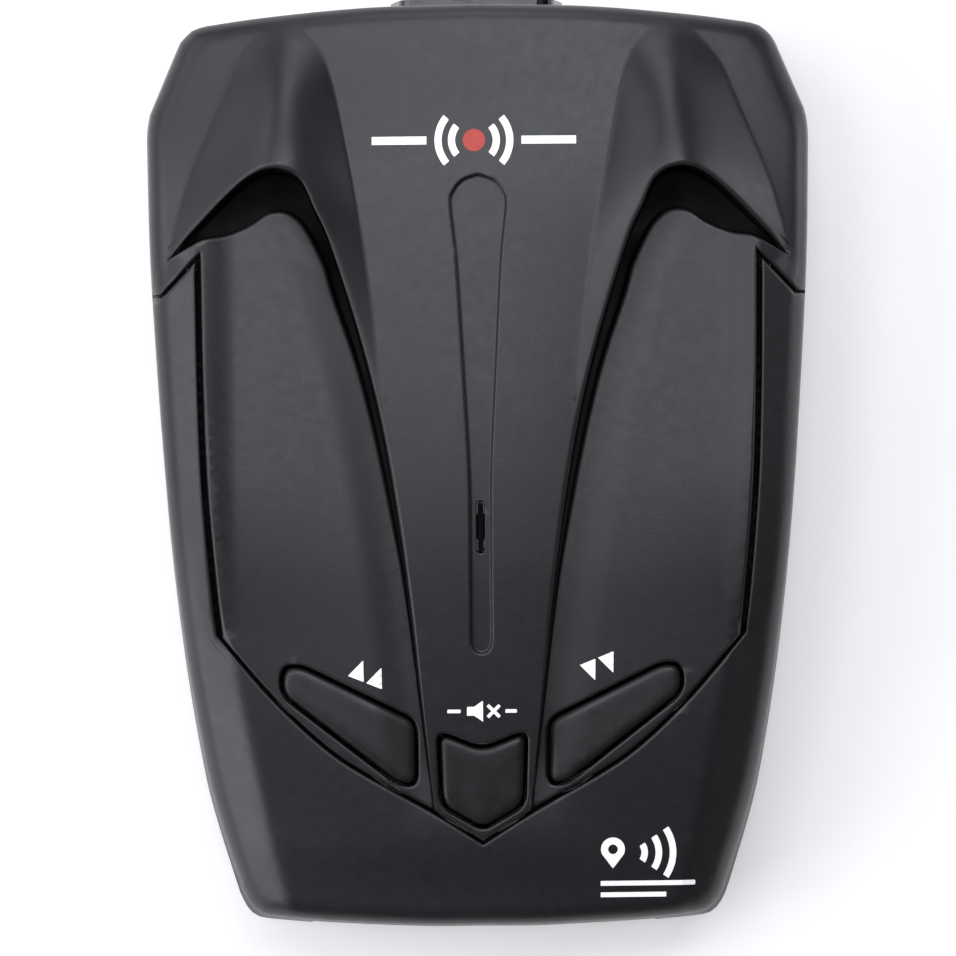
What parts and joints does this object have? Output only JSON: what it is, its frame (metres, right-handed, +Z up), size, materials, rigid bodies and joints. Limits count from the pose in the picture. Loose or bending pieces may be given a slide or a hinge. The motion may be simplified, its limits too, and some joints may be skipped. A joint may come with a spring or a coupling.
{
  "type": "radar detector",
  "caption": "Compact dashboard radar detector with twin hood scoops, a raised centre spine, sprung keys, a front laser lens and a rear display window.",
  "frame": {"origin": "centre of the footprint, at the underside of the feet", "axes": "+Y to the road (lens end), -Y to the driver (display end), +X to the driver's right, +Z up"},
  "size_m": [0.075, 0.1049, 0.0299],
  "materials": {
    "shell": "charcoal soft-touch plastic, very fine grain",
    "key": "charcoal plastic, slightly smoother than the shell",
    "smoked_window": "near-black smoked acrylic",
    "lens": "dark infrared-pass plastic",
    "circuit_board": "green solder mask",
    "chip": "black moulded package",
    "steel": "tinned steel",
    "black_screw": "blackened steel",
    "capacitor_can": "bright aluminium can",
    "horn_casting": "die-cast zinc, sandy surface",
    "ceramic_patch": "tan dielectric ceramic",
    "silver_pad": "fired silver",
    "speaker_paper": "black pressed paper",
    "connector": "ivory nylon",
    "rubber": "matt black rubber",
    "label": "blank silver-grey film"
  },
  "bodies": {
    "case": {"top_cover": "shell", "rear_frame": "shell", "bottom_cover": "shell", "display_window": "smoked_window", "light_sensor_window": "smoked_window", "laser_lens": "lens", "main_board": "circuit_board", "gps_board": "circuit_board", "laser_board": "circuit_board", "display_board": "circuit_board", "processor_chip": "chip", "memory_chip": "chip", "light_sensor_chip": "chip", "laser_receiver": "chip", "display_module": "chip", "power_jack": "chip", "rf_shield": "steel", "usb_port": "steel", "power_jack_pin": "steel", "speaker_frame": "steel", "speaker_magnet": "steel", "up_switch_base": "steel", "mute_switch_base": "steel", "down_switch_base": "steel", "board_screw_1": "steel", "board_screw_2": "steel", "board_screw_3": "steel", "board_screw_4": "steel", "housing_screw_1": "black_screw", "housing_screw_2": "black_screw", "housing_screw_3": "black_screw", "housing_screw_4": "black_screw", "capacitor_1": "capacitor_can", "capacitor_2": "capacitor_can", "capacitor_3": "capacitor_can", "capacitor_4": "capacitor_can", "rf_horn": "horn_casting", "gps_antenna": "ceramic_patch", "gps_pad": "silver_pad", "speaker_cone": "speaker_paper", "display_connector": "connector", "foot_1": "rubber", "foot_2": "rubber", "foot_3": "rubber", "foot_4": "rubber", "rating_label": "label"},
    "up_button": {"up_key": "key", "up_switch_stem": "chip"},
    "mute_button": {"mute_key": "key", "mute_switch_stem": "chip"},
    "down_button": {"down_key": "key", "down_switch_stem": "chip"}
  },
  "joints": [
    {"name": "up_press", "type": "slide", "parent": "case", "child": "up_button", "axis": [0, 0, -1], "range_m": [0, 0.0005], "stiffness_N_per_m": 1500},
    {"name": "mute_press", "type": "slide", "parent": "case", "child": "mute_button", "axis": [0, 0, -1], "range_m": [0, 0.0005], "stiffness_N_per_m": 1500},
    {"name": "down_press", "type": "slide", "parent": "case", "child": "down_button", "axis": [0, 0, -1], "range_m": [0, 0.0005], "stiffness_N_per_m": 1500}
  ]
}
